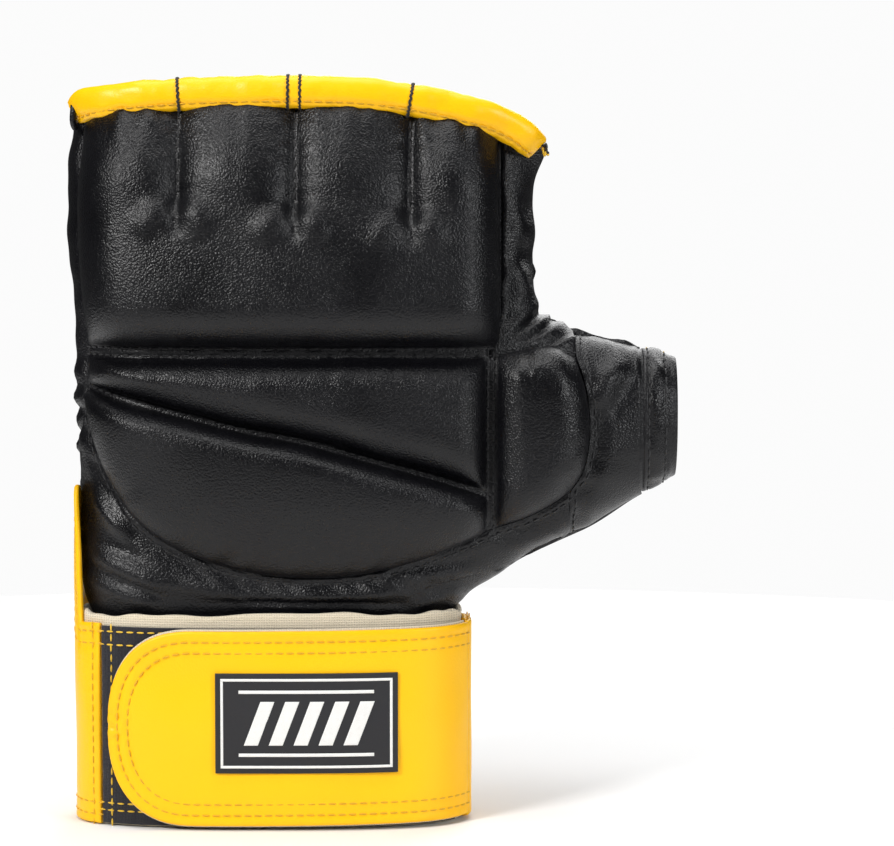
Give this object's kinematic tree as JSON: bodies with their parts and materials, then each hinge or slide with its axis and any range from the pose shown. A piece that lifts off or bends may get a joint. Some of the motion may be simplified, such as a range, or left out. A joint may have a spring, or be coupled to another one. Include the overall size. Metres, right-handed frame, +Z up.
{
  "type": "fingerless training glove",
  "caption": "Left-hand fingerless martial arts training glove with padded back, open thumb and fingers, edge binding and a wide hook-and-loop wrist strap.",
  "frame": {"origin": "centre of the glove's box at the height of the cuff's lower rim", "axes": "+Z up towards the fingers, -Y out of the back of the hand, +X towards the thumb"},
  "size_m": [0.1881, 0.0637, 0.2252],
  "materials": {
    "black_leather": "grained synthetic leather, semi-gloss",
    "yellow_leather": "smooth synthetic leather, semi-gloss",
    "cream_backing": "matt raw backing cloth",
    "black_fabric": "matt cloth and hook-and-loop pile",
    "foam": "closed-cell foam",
    "label": "woven label, dark with a white frame"
  },
  "bodies": {
    "cuff": {"cuff_lining": "cream_backing", "cuff_band": "yellow_leather", "loop_patch": "black_fabric"},
    "hand": {"upper_back_pad_cover": "black_leather", "upper_back_pad_foam": "foam", "lower_back_pad_cover": "black_leather", "lower_back_pad_foam": "foam", "thumb_pad_cover": "black_leather", "thumb_pad_foam": "foam", "hand_lining": "black_fabric", "wrist_back_panel": "black_leather", "little_finger_side_lower": "black_leather", "thumb_crotch_panel": "black_leather", "palm_heel_panel": "black_leather", "palm_centre_panel": "black_leather", "thumb_palm_panel": "black_leather", "thumb_sleeve": "black_leather"},
    "fingers": {"knuckle_pad_cover": "black_leather", "knuckle_pad_foam": "foam", "finger_lining": "black_fabric", "knuckle_fold_strip": "black_leather", "edge_binding": "yellow_leather", "little_finger_side_upper": "black_leather", "index_side_panel": "black_leather", "grip_roll_cover": "black_leather", "grip_roll_filler": "foam", "palm_finger_panel": "black_leather", "little_finger_divider": "black_leather", "middle_divider": "black_leather", "index_divider": "black_leather"},
    "thumb": {"thumb_hem": "black_leather"},
    "strap": {"strap_backing": "cream_backing", "strap_leather": "yellow_leather", "label_patch": "label"},
    "strap_end": {"strap_end_backing": "cream_backing", "strap_end_leather": "yellow_leather", "hook_patch": "black_fabric"}
  },
  "joints": [
    {"name": "wrist_flex", "type": "hinge", "parent": "cuff", "child": "hand", "pos_m": [-0.0305, 0, 0.064], "axis": [-1, 0, 0], "range_deg": [-18, 18], "stiffness_Nm_per_rad": 1.5, "deforming": ["wrist_back_panel", "palm_heel_panel"]},
    {"name": "finger_flex", "type": "hinge", "parent": "hand", "child": "fingers", "pos_m": [-0.023, -0.01, 0.144], "axis": [-1, 0, 0], "range_deg": [-8, 30], "stiffness_Nm_per_rad": 0.5, "deforming": ["knuckle_fold_strip", "grip_roll_cover", "grip_roll_filler", "index_side_panel", "little_finger_side_upper", "thumb_crotch_panel"]},
    {"name": "thumb_flex", "type": "hinge", "parent": "hand", "child": "thumb", "pos_m": [0.061, 0.006, 0.12], "axis": [0, 0, 1], "range_deg": [-15, 25], "stiffness_Nm_per_rad": 0.1, "deforming": ["thumb_sleeve", "thumb_palm_panel"]},
    {"name": "strap_open", "type": "hinge", "parent": "cuff", "child": "strap", "pos_m": [0.031, -0.0089, 0.0305], "axis": [0, 0, 1], "range_deg": [0, 140]},
    {"name": "strap_peel", "type": "hinge", "parent": "strap", "child": "strap_end", "pos_m": [-0.0525, -0.0267, 0.0305], "axis": [0, 0, 1], "range_deg": [0, 75]}
  ]
}
